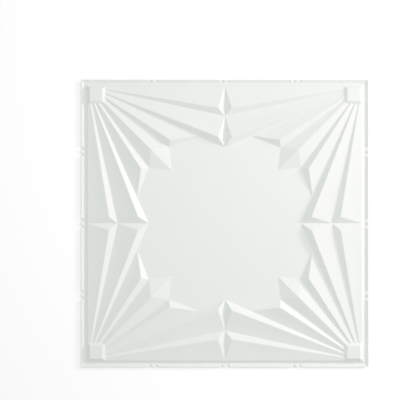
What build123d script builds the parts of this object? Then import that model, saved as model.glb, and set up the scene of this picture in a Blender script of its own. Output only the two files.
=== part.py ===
"""Lay-in ceiling tile with a sunburst fan in each corner, formed from one plastic sheet.

The tile lies face up: +Z is its decorated face, its edges run along X and Y, and its origin is at the
bottom centre, on the underside of the channel that runs round the rim. All lengths are millimetres.
The face is modelled as a solid form, and the tile is the thin skin of that form.
"""

import os
from math import radians, tan

from build123d import *

# Sheet
tile_size = 603.0
sheet = 0.76

# Rim, from the outer edge towards the middle
lip_land = 1.0
lip_run = 5.6
channel_floor = 2.5
riser_run = 4.6
channel_depth = 2.8
lip_rise = 2.7

# Pairs of pressed dips across the lip
dip_pairs = 3
dip_spacing = 13.0
dip_width = 8.6
dip_floor = 3.4

# Corner fans: angles in degrees, counted from the tile's edge
outer_ray_spread = 12.3
second_ray_spread = 11.7
middle_ray_spread = 16.2
long_ridge_share = 0.765
short_ridge_share = 0.70
outer_height = 7.2
second_height = 9.4
short_height = 8.2
middle_height = 8.8
end_run = 14.0
short_ray_foot = 21.4
middle_ray_length = 250.0
middle_crest_length = 188.0

# Square boss over the start of each fan
boss_top = 27.0
boss_height = 4.0
boss_outer_run = 4.0
boss_inner_run = 7.1

# Levels of the face above the floor that the tile lies on
channel_level = sheet
lip_level = channel_level + lip_rise
field_level = channel_level + channel_depth
top_level = field_level + max(outer_height, second_height, short_height, middle_height)
form_bottom = -channel_depth

# Half sizes of the squares that bound the rim's bands
tile_half = tile_size / 2
land_half = tile_half - lip_land
channel_half = land_half - lip_run
riser_half = channel_half - channel_floor
pattern_half = riser_half - riser_run
form_half = tile_half + lip_land + lip_run

# Directions of valleys and ridges
first_valley = outer_ray_spread
second_valley = first_valley + second_ray_spread
diagonal = 45.0
third_valley = diagonal - middle_ray_spread / 2
first_ridge = long_ridge_share * outer_ray_spread
second_ridge = first_valley + long_ridge_share * second_ray_spread
third_ridge = second_valley + short_ridge_share * (third_valley - second_valley)

fan_corner = Vector(pattern_half, pattern_half, field_level)


def along(angle):
    """Level direction from the fan's corner into the tile, at an angle from the tile's edge."""
    return Vector(-1, 0, 0).rotate(Axis.Z, angle)


def at_mid_edge(angle):
    """How far from the middle of the tile a line of the fan crosses the mid-edge plane."""
    return pattern_half * (1 - tan(radians(angle)))


def slope_plane(foot_start, foot_end, crest):
    """Plane that rises from a level foot line to a crest point, facing up."""
    normal = (foot_end - foot_start).cross(crest - foot_start)
    return Plane(origin=foot_start, z_dir=normal if normal.Z > 0 else -normal)


def ray(inner_valley, outer_valley, ridge, crest, end_plane):
    """One ray: a three-sided pyramid lying on the field, its point in the fan's corner, cut by its end."""
    ridge_growth = pattern_half / (pattern_half - crest.X)
    mid_edge_height = field_level + (crest.Z - field_level) * ridge_growth
    with BuildPart() as pyramid:
        with BuildSketch(Plane.YZ) as section:
            with BuildLine():
                Polyline(
                    (at_mid_edge(inner_valley), field_level),
                    (at_mid_edge(ridge), mid_edge_height),
                    (at_mid_edge(outer_valley), field_level),
                    close=True,
                )
            make_face()
        loft(sections=[section.sketch.face(), Vertex(*fan_corner)])
        split(bisect_by=end_plane, keep=Keep.BOTTOM)
    return pyramid.part


def long_ray(inner_valley, outer_valley, ridge, height):
    """A ray that meets its mirror image in a groove along the mid-edge plane."""
    reach = (pattern_half - end_run) / along(ridge).dot(Vector(-1, 0, 0))
    crest = fan_corner + along(ridge) * reach + Vector(0, 0, height)
    groove_start = Vector(0, 0, field_level)
    groove_end = Vector(0, pattern_half, field_level)
    return ray(inner_valley, outer_valley, ridge, crest, slope_plane(groove_start, groove_end, crest))


outer_ray = long_ray(first_valley, 0, first_ridge, outer_height)
second_ray = long_ray(second_valley, first_valley, second_ridge, second_height)

# Short ray: its foot turns away from the corner that it shares with the middle ray
shared_reach = (pattern_half - at_mid_edge(second_valley)) / along(third_valley).dot(Vector(0, -1, 0))
shared_corner = fan_corner + along(third_valley) * shared_reach
foot_line = Vector(-1, 0, 0).rotate(Axis.Z, -short_ray_foot)
foot_outward = foot_line.rotate(Axis.Z, -90)
short_reach = ((fan_corner - shared_corner).dot(foot_outward) - end_run) / -along(third_ridge).dot(foot_outward)
short_crest = fan_corner + along(third_ridge) * short_reach + Vector(0, 0, short_height)
short_end = slope_plane(shared_corner, shared_corner + foot_line, short_crest)
short_ray = ray(third_valley, second_valley, third_ridge, short_crest, short_end)

# Middle ray: one half of it, up to the diagonal
middle_tip = fan_corner + along(diagonal) * middle_ray_length
middle_crest = fan_corner + along(diagonal) * middle_crest_length + Vector(0, 0, middle_height)
middle_end = slope_plane(middle_tip, shared_corner, middle_crest)
middle_half_ray = ray(diagonal, third_valley, diagonal, middle_crest, middle_end)

# Boss: a square block with sloping sides, its outer foot on the edge of the pattern
boss_foot_size = boss_inner_run + boss_top + boss_outer_run
boss_foot_middle = pattern_half - boss_foot_size / 2
boss_top_middle = pattern_half - boss_outer_run - boss_top / 2
with BuildPart() as boss:
    with BuildSketch(Plane.XY.offset(field_level)) as boss_foot:
        with Locations((boss_foot_middle, boss_foot_middle)):
            Rectangle(boss_foot_size, boss_foot_size)
    with BuildSketch(Plane.XY.offset(field_level + boss_height)) as boss_head:
        with Locations((boss_top_middle, boss_top_middle)):
            Rectangle(boss_top, boss_top)
    loft(sections=[boss_foot.sketch, boss_head.sketch])

# One whole corner: half a fan, its mirror image across the diagonal, and the boss
diagonal_plane = Plane(origin=(0, 0, 0), z_dir=(1, -1, 0))
with BuildPart() as corner:
    add([outer_ray, second_ray, short_ray, middle_half_ray])
    mirror(about=diagonal_plane)
    add(boss.part)

# Dips of the front edge: cutters with sloping sides that open the lip down to the channel's floor
dip_pitch = tile_size / (dip_pairs + 1)
dip_end = channel_half - channel_floor / 2
with BuildPart() as front_dips:
    with BuildSketch(Plane.XZ.offset(dip_end)):
        with GridLocations(dip_pitch, 0, dip_pairs, 1):
            with GridLocations(dip_spacing, 0, 2, 1):
                Polygon(
                    (-dip_width / 2, lip_level),
                    (-dip_floor / 2, channel_level),
                    (dip_floor / 2, channel_level),
                    (dip_width / 2, lip_level),
                )
    extrude(amount=form_half - dip_end)

# Solid form, wider than the tile, whose top is the tile's face
with BuildPart() as form:
    with BuildSketch(Plane.XY.offset(form_bottom)):
        Rectangle(2 * form_half, 2 * form_half)
    extrude(amount=lip_level - form_bottom)

    # Tray inside the lip
    with BuildSketch(Plane.XY.offset(channel_level)) as channel_foot:
        Rectangle(2 * channel_half, 2 * channel_half)
    with BuildSketch(Plane.XY.offset(lip_level)) as channel_mouth:
        Rectangle(2 * land_half, 2 * land_half)
    loft(sections=[channel_foot.sketch, channel_mouth.sketch], mode=Mode.SUBTRACT)

    # Raised pattern block, which leaves the channel between itself and the lip
    with BuildSketch(Plane.XY.offset(channel_level)) as riser_foot:
        Rectangle(2 * riser_half, 2 * riser_half)
    with BuildSketch(Plane.XY.offset(field_level)) as riser_head:
        Rectangle(2 * pattern_half, 2 * pattern_half)
    loft(sections=[riser_foot.sketch, riser_head.sketch])

    # Four corners and the dips of four edges
    with PolarLocations(0, 4):
        add(corner.part)
        add(front_dips.part, mode=Mode.SUBTRACT)

# The tile: the skin of the form, as deep as the sheet is thick, trimmed to its outline
with BuildPart() as ceiling_tile:
    with BuildSketch(Plane.XY.offset(form_bottom)):
        Rectangle(tile_size, tile_size)
    extrude(amount=top_level - form_bottom)
    add(form.part, mode=Mode.INTERSECT)
    add(form.part.moved(Location((0, 0, -sheet))), mode=Mode.SUBTRACT)

ceiling_tile.part.label = "ceiling_tile"
os.makedirs("parts", exist_ok=True)
export_step(ceiling_tile.part, "parts/ceiling_tile.step")

box = ceiling_tile.part.bounding_box()
print("ceiling_tile", len(ceiling_tile.part.solids()), "solid,", len(ceiling_tile.part.faces()), "faces")
print("size", box.size, "lowest", box.min.Z, "volume", ceiling_tile.part.volume)
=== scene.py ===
# %% [markdown]
# # A formed sunburst ceiling tile
#
# The object is one square of thin white plastic. A heated sheet was sucked down over a mould, so a
# flat panel came out with fans of sharp rays in its corners, a raised block at the start of each fan,
# and a channel and a lip all round.
#
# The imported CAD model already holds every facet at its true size. Blender adds what a CAD model
# leaves out: the soft bends that a warm sheet takes over the edges of a mould, the satin skin of the
# plastic, and light that rakes across the relief so that each facet gets its own tone.

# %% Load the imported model
import math
from collections import namedtuple

import bpy
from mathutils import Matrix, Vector


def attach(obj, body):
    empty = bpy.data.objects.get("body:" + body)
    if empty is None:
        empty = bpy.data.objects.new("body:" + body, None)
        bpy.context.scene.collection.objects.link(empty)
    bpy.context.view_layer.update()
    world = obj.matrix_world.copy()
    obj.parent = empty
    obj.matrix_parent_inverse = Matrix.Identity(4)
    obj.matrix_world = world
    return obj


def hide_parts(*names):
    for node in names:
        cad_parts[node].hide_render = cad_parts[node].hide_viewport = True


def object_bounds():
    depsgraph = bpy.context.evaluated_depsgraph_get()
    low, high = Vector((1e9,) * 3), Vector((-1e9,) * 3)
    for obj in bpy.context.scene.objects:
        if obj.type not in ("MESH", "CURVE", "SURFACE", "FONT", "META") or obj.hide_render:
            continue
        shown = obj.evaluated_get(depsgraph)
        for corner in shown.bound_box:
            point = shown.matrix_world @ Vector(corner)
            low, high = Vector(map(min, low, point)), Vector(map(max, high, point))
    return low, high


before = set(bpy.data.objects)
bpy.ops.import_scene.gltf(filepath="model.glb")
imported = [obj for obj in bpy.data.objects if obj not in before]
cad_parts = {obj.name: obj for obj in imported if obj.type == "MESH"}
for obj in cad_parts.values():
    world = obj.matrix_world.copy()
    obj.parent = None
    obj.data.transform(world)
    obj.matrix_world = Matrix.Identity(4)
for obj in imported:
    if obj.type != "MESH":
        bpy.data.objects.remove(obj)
cad_low, cad_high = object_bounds()
MM = 0.001
print("CAD box in mm:", [round(side / MM, 2) for side in cad_high - cad_low])

# %% [markdown]
# ## The face of the sheet
#
# On the real tile the face and the back are the two sides of the same sheet, so only one of them needs
# to be shaped. The face could be drawn again from planes and extrusions, but every crease of it is in
# the CAD mesh. A copy of that mesh keeps them exactly where they belong.
#
# A CAD mesh is made of loose triangles. They are merged first, then the back and the trimmed edge are
# deleted, which leaves the open face.

# %% Copy the sheet and keep its face
MERGE_GAP = 0.01 * MM
FACE_SIDE = 0.2   # a facet of the face points at least this much upwards

cad_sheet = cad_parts["ceiling_tile"]
formed_sheet = bpy.data.objects.new("formed_sheet", cad_sheet.data.copy())
bpy.context.scene.collection.objects.link(formed_sheet)

bpy.ops.object.select_all(action="DESELECT")
bpy.context.view_layer.objects.active = formed_sheet
formed_sheet.select_set(True)

bpy.ops.object.mode_set(mode="EDIT")
bpy.ops.mesh.select_mode(type="VERT")
bpy.ops.mesh.select_all(action="SELECT")
bpy.ops.mesh.remove_doubles(threshold=MERGE_GAP)
bpy.ops.mesh.select_mode(type="FACE")
bpy.ops.mesh.select_all(action="DESELECT")
bpy.ops.object.mode_set(mode="OBJECT")
for facet in formed_sheet.data.polygons:
    facet.select = facet.normal.z < FACE_SIDE

bpy.ops.object.mode_set(mode="EDIT")
bpy.ops.mesh.delete(type="FACE")
bpy.ops.object.mode_set(mode="OBJECT")
print("triangles in the face:", len(formed_sheet.data.polygons))

# %% [markdown]
# The face is still cut into triangles that mean nothing to the eye. They are joined, so that every
# facet of the mould becomes one polygon and every edge that is left is a real crease.
#
# The floor of the channel comes first. It is a ring, and a ring can't be one polygon, so Bisect cuts it
# along the two diagonals of the tile, like the mitred corners of a picture frame, and each of its four
# sides is then dissolved into one long polygon.

# %% Join the floor of the channel
CHANNEL_FLOOR = 0.8 * MM   # only the floor of the channel lies lower than this


def select_floor(side=None):
    """Selects the facets of the channel's floor: all of them, or only those on one side of the tile."""
    for facet in formed_sheet.data.polygons:
        place = facet.center
        facet.select = place.z < CHANNEL_FLOOR
        if side is not None and place.dot(side) < max(abs(place.x), abs(place.y)):
            facet.select = False


for mitre in ((1, 1, 0), (1, -1, 0)):
    select_floor()
    bpy.ops.object.mode_set(mode="EDIT")
    bpy.ops.mesh.bisect(plane_co=(0, 0, 0), plane_no=mitre, threshold=MERGE_GAP)
    bpy.ops.mesh.select_all(action="DESELECT")
    bpy.ops.object.mode_set(mode="OBJECT")

for side in (Vector((1, 0, 0)), Vector((0, 1, 0)), Vector((-1, 0, 0)), Vector((0, -1, 0))):
    select_floor(side)
    bpy.ops.object.mode_set(mode="EDIT")
    bpy.ops.mesh.dissolve_faces()
    bpy.ops.mesh.select_all(action="DESELECT")
    bpy.ops.object.mode_set(mode="OBJECT")
select_floor()
print("polygons in the floor of the channel:", sum(facet.select for facet in formed_sheet.data.polygons))

# %% [markdown]
# Limited Dissolve does the same for all the other facets at once: it removes the edges between
# triangles that lie in one plane. The floor is left unselected, or it would become a ring again.

# %% Join the triangles of the other facets
SAME_PLANE = math.radians(0.3)

for facet in formed_sheet.data.polygons:
    facet.select = not facet.select
bpy.ops.object.mode_set(mode="EDIT")
bpy.ops.mesh.dissolve_limited(angle_limit=SAME_PLANE)
bpy.ops.mesh.select_all(action="DESELECT")
bpy.ops.object.mode_set(mode="OBJECT")
print("facets:", len(formed_sheet.data.polygons), "creases:", len(formed_sheet.data.edges))

# %% [markdown]
# ## Soft bends
#
# A sheet that is drawn over a mould can't copy a knife edge. It bends round it on a radius about as
# large as the sheet is thick, and that radius is what catches the light along a crease.
#
# A Bevel modifier makes such bends. One width for all of them would fold the mesh over itself where
# the rays run together, so each crease gets a weight: it bends over the full width where there is
# room, and over less where a facet is narrow or a neighbouring crease is short.
#
# The modifier also marks its new faces as weak and the facets as strong. The shading uses that later.

# %% Measure the room beside each crease
BEND_WIDTH = 1.1 * MM
ROOM_SHARE = 0.36   # the share of a narrow facet or a short crease that a bend may take


def facet_width(facet):
    """Width of a facet that is long and narrow: its area over its longest side."""
    corners = [formed_sheet.data.vertices[v].co for v in facet.vertices]
    sides = [(a - b).length for a, b in zip(corners, corners[1:] + corners[:1])]
    return facet.area / max(sides)


def crease_room():
    """For each crease, the narrowest thing beside it: a facet or the length of a neighbouring crease."""
    mesh = formed_sheet.data
    shortest_at = [math.inf] * len(mesh.vertices)
    for crease in mesh.edges:
        a, b = crease.vertices
        length = (mesh.vertices[a].co - mesh.vertices[b].co).length
        shortest_at[a] = min(shortest_at[a], length)
        shortest_at[b] = min(shortest_at[b], length)
    room = {crease.key: min(shortest_at[v] for v in crease.vertices) for crease in mesh.edges}
    for facet in mesh.polygons:
        width = facet_width(facet)
        for key in facet.edge_keys:
            room[key] = min(room[key], width)
    return [room[crease.key] for crease in mesh.edges]


weights = [min(1.0, ROOM_SHARE * room / BEND_WIDTH) for room in crease_room()]
bend_weights = formed_sheet.data.attributes.new("bevel_weight_edge", "FLOAT", "EDGE")
bend_weights.data.foreach_set("value", weights)
narrowest, widest = [round(weight * BEND_WIDTH / MM, 2) for weight in (min(weights), max(weights))]
print("bends reach from", narrowest, "to", widest, "mm to each side")

# %% Bend the creases
BEND_STEPS = 3


def apply_modifier(piece, kind, **settings):
    """Adds a modifier with these settings to a piece and applies it."""
    modifier = piece.modifiers.new(kind.title(), kind)
    for name, value in settings.items():
        setattr(modifier, name, value)
    bpy.ops.object.modifier_apply(modifier=modifier.name)


apply_modifier(
    formed_sheet,
    "BEVEL",
    limit_method="WEIGHT",
    width=BEND_WIDTH,
    segments=BEND_STEPS,
    use_clamp_overlap=False,
    face_strength_mode="FSTR_ALL",
)
print("polygons after bending:", len(formed_sheet.data.polygons))

# %% [markdown]
# ## Hollow facets
#
# A warm sheet draws tight between the crests and the valleys of its mould and shrinks a little as it
# cools, so the broad sides of the rays don't come out flat. They are slightly hollow, and the wider they
# are, the deeper. In raking light such a facet fades from its valley to its crest.
#
# A single polygon can't sag, because it has no points inside its border. Bisect gives it some: cuts
# that fan out from the ray's start divide it into strips, and cuts across it divide the strips into
# steps. The points inside are then lowered on a shallow curve, and the border stays where it is.

# %% Find the broad facets of the rays
LONG_FACET = 150 * MM
BROAD_FACET = 8 * MM
LEAST_SLOPE = math.radians(5)
MOST_SLOPE = math.radians(17)
UP = Vector((0, 0, 1))
BroadFacet = namedtuple("BroadFacet", "normal centre corners long_sides")


def length(side):
    """Length of a facet's side, which is a pair of corners."""
    return (side[0] - side[1]).length


broad_facets = []
for facet in formed_sheet.data.polygons:
    corners = [formed_sheet.data.vertices[v].co.copy() for v in facet.vertices]
    sides = sorted(zip(corners, corners[1:] + corners[:1]), key=length)
    is_broad = length(sides[-1]) > LONG_FACET and facet_width(facet) > BROAD_FACET
    if is_broad and LEAST_SLOPE < facet.normal.angle(UP) < MOST_SLOPE:
        broad_facets.append(BroadFacet(facet.normal.copy(), facet.center.copy(), corners, sides[-2:]))
print("broad facets:", len(broad_facets))

# %% Cut one facet along a plane
SAME_NORMAL = 1 - 1e-6   # the least that the normals of two pieces of one facet agree


def select_pieces(facet):
    """Selects all polygons in the plane of one facet, in its own quarter of the tile."""
    for piece in formed_sheet.data.polygons:
        off_plane = abs((piece.center - facet.centre).dot(facet.normal))
        in_plane = piece.normal.dot(facet.normal) > SAME_NORMAL and off_plane < MERGE_GAP
        in_quarter = piece.center.x * facet.centre.x > 0 and piece.center.y * facet.centre.y > 0
        piece.select = in_plane and in_quarter


def cut_pieces(facet, point, direction):
    """Cuts the pieces of one facet along the plane through a point, square to a direction."""
    select_pieces(facet)
    bpy.ops.object.mode_set(mode="EDIT")
    bpy.ops.mesh.bisect(plane_co=point, plane_no=direction, threshold=MERGE_GAP)
    bpy.ops.mesh.select_all(action="DESELECT")
    bpy.ops.object.mode_set(mode="OBJECT")


# %% Cut the facets into strips and steps
STRIPS = 4
STEPS = 8


def level_direction(side):
    """Level direction of a facet's long side, from the corner of the tile inwards."""
    end, start = sorted((point.to_2d() for point in side), key=lambda point: point.length)
    return (end - start).normalized()


def ray_start(long_sides):
    """Where the two long sides of a facet would meet, seen from above."""
    (a, b), (c, d) = [[point.to_2d() for point in side] for side in long_sides]
    share = (c - a).cross(d - c) / (b - a).cross(d - c)
    return (a + (b - a) * share).to_3d()


for facet in broad_facets:
    start = ray_start(facet.long_sides)
    first, last = [level_direction(side) for side in facet.long_sides]
    for strip in range(1, STRIPS):
        along = first.lerp(last, strip / STRIPS)
        cut_pieces(facet, start, (-along.y, along.x, 0))
    middle = first.lerp(last, 0.5).normalized().to_3d()
    reaches = [(corner - start).dot(middle) for corner in facet.corners]
    for step in range(1, STEPS):
        reach = min(reaches) + (max(reaches) - min(reaches)) * step / STEPS
        cut_pieces(facet, start + middle * reach, middle)
print("polygons with strips and steps:", len(formed_sheet.data.polygons))

# %% Lower the points inside
HOLLOW_GROWTH = 2.0   # times the distances in metres from the two long sides, this gives the depth


def level_distance(point, side):
    """Distance of a point from the line of a facet's side, seen from above."""
    a, b = [end.to_2d() for end in side]
    return abs((point.to_2d() - a).cross((b - a).normalized()))


deepest = 0
for facet in broad_facets:
    select_pieces(facet)
    on_facet, elsewhere = set(), set()
    for piece in formed_sheet.data.polygons:
        (on_facet if piece.select else elsewhere).update(piece.vertices)
    for index in on_facet - elsewhere:
        point = formed_sheet.data.vertices[index].co
        depth = HOLLOW_GROWTH * math.prod(level_distance(point, side) for side in facet.long_sides)
        point.z -= depth
        deepest = max(deepest, depth)
print("deepest hollow:", round(deepest / MM, 2), "mm")

# %% [markdown]
# ## The thickness of the sheet
#
# Solidify would push the back out along the normals and could fold it in the tight corners. The sheet
# was formed by one pull straight down, so its back is the face moved straight down. Extruding the
# whole face does exactly that, and it closes the trimmed edge in the same step.

# %% Extrude the back
SHEET = 0.76 * MM

bpy.ops.object.mode_set(mode="EDIT")
bpy.ops.mesh.select_mode(type="FACE")
bpy.ops.mesh.select_all(action="SELECT")
bpy.ops.mesh.extrude_region_move(TRANSFORM_OT_translate={"value": (0, 0, -SHEET)})
bpy.ops.mesh.select_all(action="SELECT")
bpy.ops.mesh.normals_make_consistent(inside=False)
bpy.ops.object.mode_set(mode="OBJECT")
print("polygons of the closed sheet:", len(formed_sheet.data.polygons))

# %% [markdown]
# The die that trims the tile leaves a crisp edge, but not a perfect one. A bevel of a tenth of a
# millimetre takes the hardness off it. Only the corners of the trimmed edge turn by more than 60
# degrees, so the angle is enough to find them.
#
# Smooth shading then blends the small steps of each bend. The Weighted Normal modifier asks the strong
# faces first, so each facet keeps its own normals right up to the bend.
#
# An exporter cuts every polygon into triangles, and on a long facet it may cut off a sliver that has
# no area. Cutting them here with the Beauty method gives the evenest triangles, and the normals stay.

# %% Soften the trimmed edge and shade the bends
TRIM_WIDTH = 0.12 * MM
TRIM_STEPS = 2
TRIM_CORNER = math.radians(60)
SMOOTH_BELOW = math.radians(50)

apply_modifier(
    formed_sheet,
    "BEVEL",
    limit_method="ANGLE",
    angle_limit=TRIM_CORNER,
    width=TRIM_WIDTH,
    segments=TRIM_STEPS,
)
bpy.ops.object.shade_smooth_by_angle(angle=SMOOTH_BELOW)
apply_modifier(formed_sheet, "WEIGHTED_NORMAL", keep_sharp=True, use_face_influence=True)
apply_modifier(
    formed_sheet,
    "TRIANGULATE",
    quad_method="BEAUTY",
    ngon_method="BEAUTY",
    keep_custom_normals=True,
)
finished = formed_sheet.data
print("finished sheet:", len(finished.polygons), "triangles,", len(finished.vertices), "vertices")

# %% [markdown]
# ## White satin plastic
#
# The tile is rigid white PVC with a satin skin. It isn't a perfect white: it leans a little to green,
# its tone drifts by a hair from place to place, and a sheet this thin is never quite flat, so its
# sheen wanders. Under a lens the skin has a fine even grain.
#
# All of it is procedural and reads Object coordinates, so it stays in place on the sheet. Three Noise
# textures do the work: a wide one for the tone and the waviness, a small one for the roughness, and a
# very fine one for the grain.

# %% Start the plastic's material
PLASTIC_WHITE = (0.860, 0.880, 0.860, 1.0)
PLASTIC_WHITE_DEEPER = (0.845, 0.867, 0.845, 1.0)
PLASTIC_IOR = 1.5

satin_pvc = bpy.data.materials.new("satin_white_pvc")
satin_pvc.use_nodes = True
nodes = satin_pvc.node_tree.nodes
links = satin_pvc.node_tree.links
plastic = nodes["Principled BSDF"]
plastic.inputs["IOR"].default_value = PLASTIC_IOR
place = nodes.new("ShaderNodeTexCoord")


def noise(features_per_metre, detail):
    """A Noise texture on the sheet's own coordinates."""
    texture = nodes.new("ShaderNodeTexNoise")
    texture.inputs["Scale"].default_value = features_per_metre
    texture.inputs["Detail"].default_value = detail
    links.new(place.outputs["Object"], texture.inputs["Vector"])
    return texture.outputs["Fac"]


# %% Tone and sheen
SHEEN_FROM = 0.40
SHEEN_TO = 0.50

drift = noise(features_per_metre=11, detail=2)
tone = nodes.new("ShaderNodeMix")
tone.data_type = "RGBA"
tone.inputs["A"].default_value = PLASTIC_WHITE
tone.inputs["B"].default_value = PLASTIC_WHITE_DEEPER
links.new(drift, tone.inputs["Factor"])
links.new(tone.outputs["Result"], plastic.inputs["Base Color"])

sheen = nodes.new("ShaderNodeMapRange")
sheen.inputs["To Min"].default_value = SHEEN_FROM
sheen.inputs["To Max"].default_value = SHEEN_TO
links.new(noise(features_per_metre=260, detail=3), sheen.inputs["Value"])
links.new(sheen.outputs["Result"], plastic.inputs["Roughness"])

# %% Grain and waviness
WAVE_DEPTH = 0.9 * MM
GRAIN_DEPTH = 0.012 * MM

waves = nodes.new("ShaderNodeBump")
waves.inputs["Distance"].default_value = WAVE_DEPTH
links.new(drift, waves.inputs["Height"])
grain = nodes.new("ShaderNodeBump")
grain.inputs["Distance"].default_value = GRAIN_DEPTH
links.new(noise(features_per_metre=1800, detail=2), grain.inputs["Height"])
links.new(waves.outputs["Normal"], grain.inputs["Normal"])
links.new(grain.outputs["Normal"], plastic.inputs["Normal"])
print("material nodes:", len(nodes))

# %% Give the sheet its finish and its place in the model
formed_sheet.data.materials.clear()
formed_sheet.data.materials.append(satin_pvc)
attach(formed_sheet, "root")
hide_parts("ceiling_tile")
print("formed_sheet stands for ceiling_tile")

# %% [markdown]
# ## The floor
#
# The tile lies on a plain pale floor. A diffuse shader takes the tile's soft shadow. By itself it would
# be a light grey, so a little emission lifts it to white.
#
# That emission must not light the tile. The Light Path node tells what kind of ray has reached the
# floor, and the lift answers only to rays that look at it: from the camera, in a reflection or through
# glass. The same trick later gives the world a white backdrop.

# %% Lay the floor
FLOOR_SIZE = 14.0
FLOOR_WHITE = (0.90, 0.90, 0.90, 1.0)
FLOOR_LIFT = 0.22


def looking_rays(tree):
    """Adds nodes that give 1 to rays that look at a surface and 0 to rays that gather light from it."""
    path = tree.nodes.new("ShaderNodeLightPath")
    looking = path.outputs["Is Camera Ray"]
    for kind in ("Is Glossy Ray", "Is Transmission Ray"):
        either = tree.nodes.new("ShaderNodeMath")
        either.operation = "MAXIMUM"
        tree.links.new(looking, either.inputs[0])
        tree.links.new(path.outputs[kind], either.inputs[1])
        looking = either.outputs["Value"]
    return looking


bpy.ops.mesh.primitive_plane_add(size=FLOOR_SIZE, location=(0, 0, cad_low.z))
floor = bpy.context.active_object
floor.name = "floor"
floor_paint = bpy.data.materials.new("pale_floor")
floor_paint.use_nodes = True
paint = floor_paint.node_tree
paint.nodes.clear()
matt = paint.nodes.new("ShaderNodeBsdfDiffuse")
matt.inputs["Color"].default_value = FLOOR_WHITE
lift_strength = paint.nodes.new("ShaderNodeMath")
lift_strength.operation = "MULTIPLY"
lift_strength.inputs[1].default_value = FLOOR_LIFT
paint.links.new(looking_rays(paint), lift_strength.inputs[0])
lift = paint.nodes.new("ShaderNodeEmission")
paint.links.new(lift_strength.outputs["Value"], lift.inputs["Strength"])
both = paint.nodes.new("ShaderNodeAddShader")
paint.links.new(matt.outputs["BSDF"], both.inputs[0])
paint.links.new(lift.outputs["Emission"], both.inputs[1])
floor_output = paint.nodes.new("ShaderNodeOutputMaterial")
paint.links.new(both.outputs["Shader"], floor_output.inputs["Surface"])
floor.data.materials.append(floor_paint)
print("floor at", round(cad_low.z / MM, 3), "mm")

# %% [markdown]
# ## Light
#
# A white sheet on white shows its form only by light and shade. Light that is even all round fills the
# shaded facets, and its faint green stays in them. One soft lamp stands low beside the tile: facets
# that face it turn bright, and facets that face away fall back to the fill. A wide lamp hangs over the
# upper right corner. It lifts the flat field and makes it fade across the tile, from that corner to the
# opposite one.

# %% Even light all round
SKY_COLOUR = (0.970, 1.0, 0.977, 1.0)
SKY_STRENGTH = 0.604
BACKDROP_WHITE = (1.0, 1.0, 1.0, 1.0)

sky = bpy.data.worlds.new("even_light")
bpy.context.scene.world = sky
sky.use_nodes = True
sky_tree = sky.node_tree
sky_light = sky_tree.nodes["Background"]
sky_light.inputs["Color"].default_value = SKY_COLOUR
sky_light.inputs["Strength"].default_value = SKY_STRENGTH
backdrop = sky_tree.nodes.new("ShaderNodeBackground")
backdrop.inputs["Color"].default_value = BACKDROP_WHITE
chosen = sky_tree.nodes.new("ShaderNodeMixShader")
sky_tree.links.new(looking_rays(sky_tree), chosen.inputs["Fac"])
sky_tree.links.new(sky_light.outputs["Background"], chosen.inputs[1])
sky_tree.links.new(backdrop.outputs["Background"], chosen.inputs[2])
sky_tree.links.new(chosen.outputs["Shader"], sky_tree.nodes["World Output"].inputs["Surface"])
print("even light at", SKY_STRENGTH)

# %% Two lamps
LOW_LAMP = dict(turn=21, rise=16, distance=2.3, radius=0.20, power=95.3, colour=(1.0, 0.875, 0.914))
TOP_LAMP = dict(turn=45, rise=75, distance=1.6, radius=0.40, power=24.4, colour=(1.0, 1.0, 1.0))


def add_globe(name, turn, rise, distance, radius, power, colour):
    """Adds a soft round lamp. From the tile's centre it is turned from +X towards +Y, then raised."""
    turn, rise = math.radians(turn), math.radians(rise)
    level = Vector((math.cos(turn), math.sin(turn), 0)) * math.cos(rise)
    place = distance * (level + Vector((0, 0, math.sin(rise))))
    bpy.ops.object.light_add(type="POINT", location=place)
    globe = bpy.context.active_object
    globe.name = name
    globe.data.shadow_soft_size = radius
    globe.data.energy = power
    globe.data.color = colour
    globe.visible_camera = False
    print(name, "at", [round(c, 2) for c in place], "m")


add_globe("low_lamp", **LOW_LAMP)
add_globe("top_lamp", **TOP_LAMP)

# %% [markdown]
# ## The camera
#
# The tile is seen straight on, from far away, so its edges stay parallel and the sides of the rays
# don't open up. A long lens from almost five metres does that. The tile sits a little right of and
# below the middle of the picture.

# %% Set the camera
PICTURE_PIXELS = 400
PIXEL = 2.1 * MM
TILE_CENTRE_PIXEL = (224.85, 223.4)
LENS = 200.0
SENSOR = 36.0

picture_width = PICTURE_PIXELS * PIXEL
camera_height = picture_width * LENS / SENSOR
camera_x = (PICTURE_PIXELS / 2 - TILE_CENTRE_PIXEL[0]) * PIXEL
camera_y = (TILE_CENTRE_PIXEL[1] - PICTURE_PIXELS / 2) * PIXEL
bpy.ops.object.camera_add(location=(camera_x, camera_y, camera_height), rotation=(0, 0, 0))
camera = bpy.context.active_object
camera.data.lens = LENS
camera.data.sensor_width = SENSOR
bpy.context.scene.camera = camera
bpy.context.scene.view_settings.view_transform = "Standard"
print("camera", round(camera_height, 3), "m above the floor")
